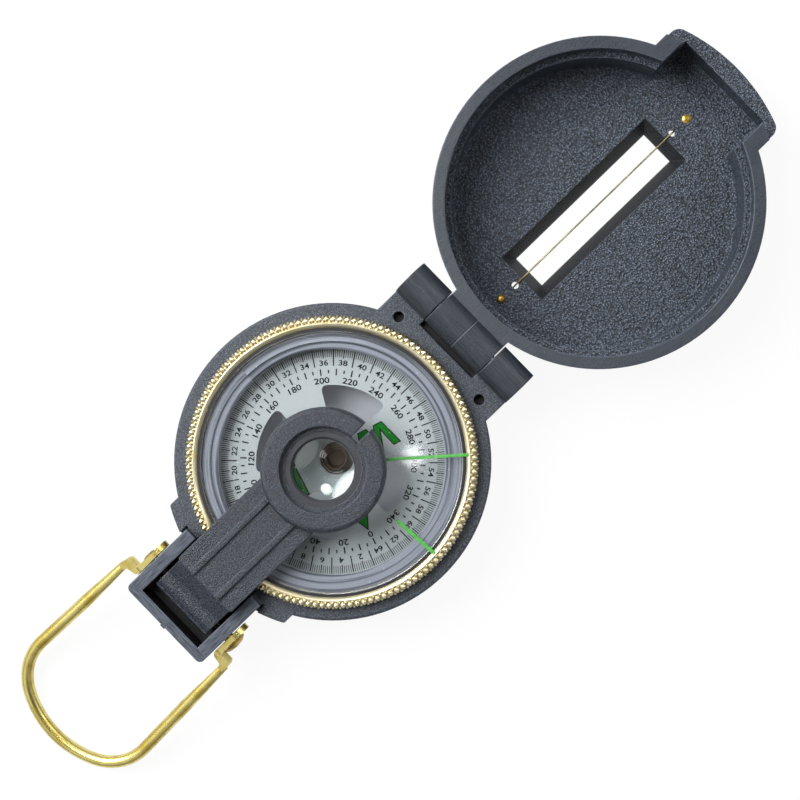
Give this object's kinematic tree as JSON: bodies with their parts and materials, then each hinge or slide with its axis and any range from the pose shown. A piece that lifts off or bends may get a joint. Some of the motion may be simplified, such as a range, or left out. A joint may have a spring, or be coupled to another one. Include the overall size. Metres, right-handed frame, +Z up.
{
  "type": "sighting compass",
  "caption": "Folding sighting compass: round case with floating dial under a knurled rotating bezel, slotted lid with sight wire, lens arm and brass thumb loop, shown open.",
  "frame": {"origin": "on the dial's axis, at the centre of the flat underside of the case", "axes": "+Z up out of the dial, +Y from the dial towards the hinge and the opened lid, +X to the right"},
  "size_m": [0.0566, 0.1689, 0.0186],
  "materials": {
    "charcoal_plastic": "fine pebble grain",
    "satin_metal": "satin",
    "grey_ring": "smooth",
    "black_rubber": "matte",
    "clear_glass": "polished",
    "dial_face": "printed, satin",
    "brass": "bright",
    "jewel": "polished",
    "steel": "plain",
    "luminous_green": "luminous paint",
    "black_metal": "satin black"
  },
  "bodies": {
    "case": {"case_body": "charcoal_plastic", "capsule_cup": "satin_metal", "capsule_seal": "black_rubber", "capsule_window": "clear_glass", "capsule_clamp_ring": "grey_ring", "pivot_post": "brass", "bezel_retaining_ring": "steel", "lid_hinge_pin": "steel", "pivot_pin": "brass"},
    "dial": {"dial_card": "dial_face", "dial_hub": "brass", "dial_jewel": "jewel", "dial_magnet": "steel"},
    "bezel": {"bezel_ring": "brass", "bezel_crystal": "clear_glass", "crystal_gasket": "black_rubber", "index_line_long": "luminous_green", "index_line_short": "luminous_green"},
    "lid": {"lid_shell": "charcoal_plastic", "sight_wire": "steel", "wire_pin_front": "brass", "wire_pin_rear": "brass"},
    "arm": {"sight_arm": "charcoal_plastic", "sight_lens": "clear_glass", "lens_ring": "black_metal"},
    "loop": {"thumb_loop": "brass"}
  },
  "joints": [
    {"name": "lid_hinge", "type": "hinge", "parent": "case", "child": "lid", "pos_m": [0, 0.0318, 0.0125], "axis": [1, 0, 0], "range_deg": [0, 180]},
    {"name": "arm_hinge", "type": "hinge", "parent": "case", "child": "arm", "pos_m": [0, -0.0341, 0.0105], "axis": [1, 0, 0], "range_deg": [0, 90]},
    {"name": "loop_swing", "type": "hinge", "parent": "case", "child": "loop", "pos_m": [0, -0.0341, 0.0105], "axis": [1, 0, 0], "range_deg": [-104, 75]},
    {"name": "bezel_turn", "type": "hinge", "parent": "case", "child": "bezel", "pos_m": [0, 0, 0.0112], "axis": [0, 0, 1], "continuous": true},
    {"name": "dial_turn", "type": "hinge", "parent": "case", "child": "dial", "pos_m": [0, 0, 0.0083], "axis": [0, 0, 1], "continuous": true}
  ]
}
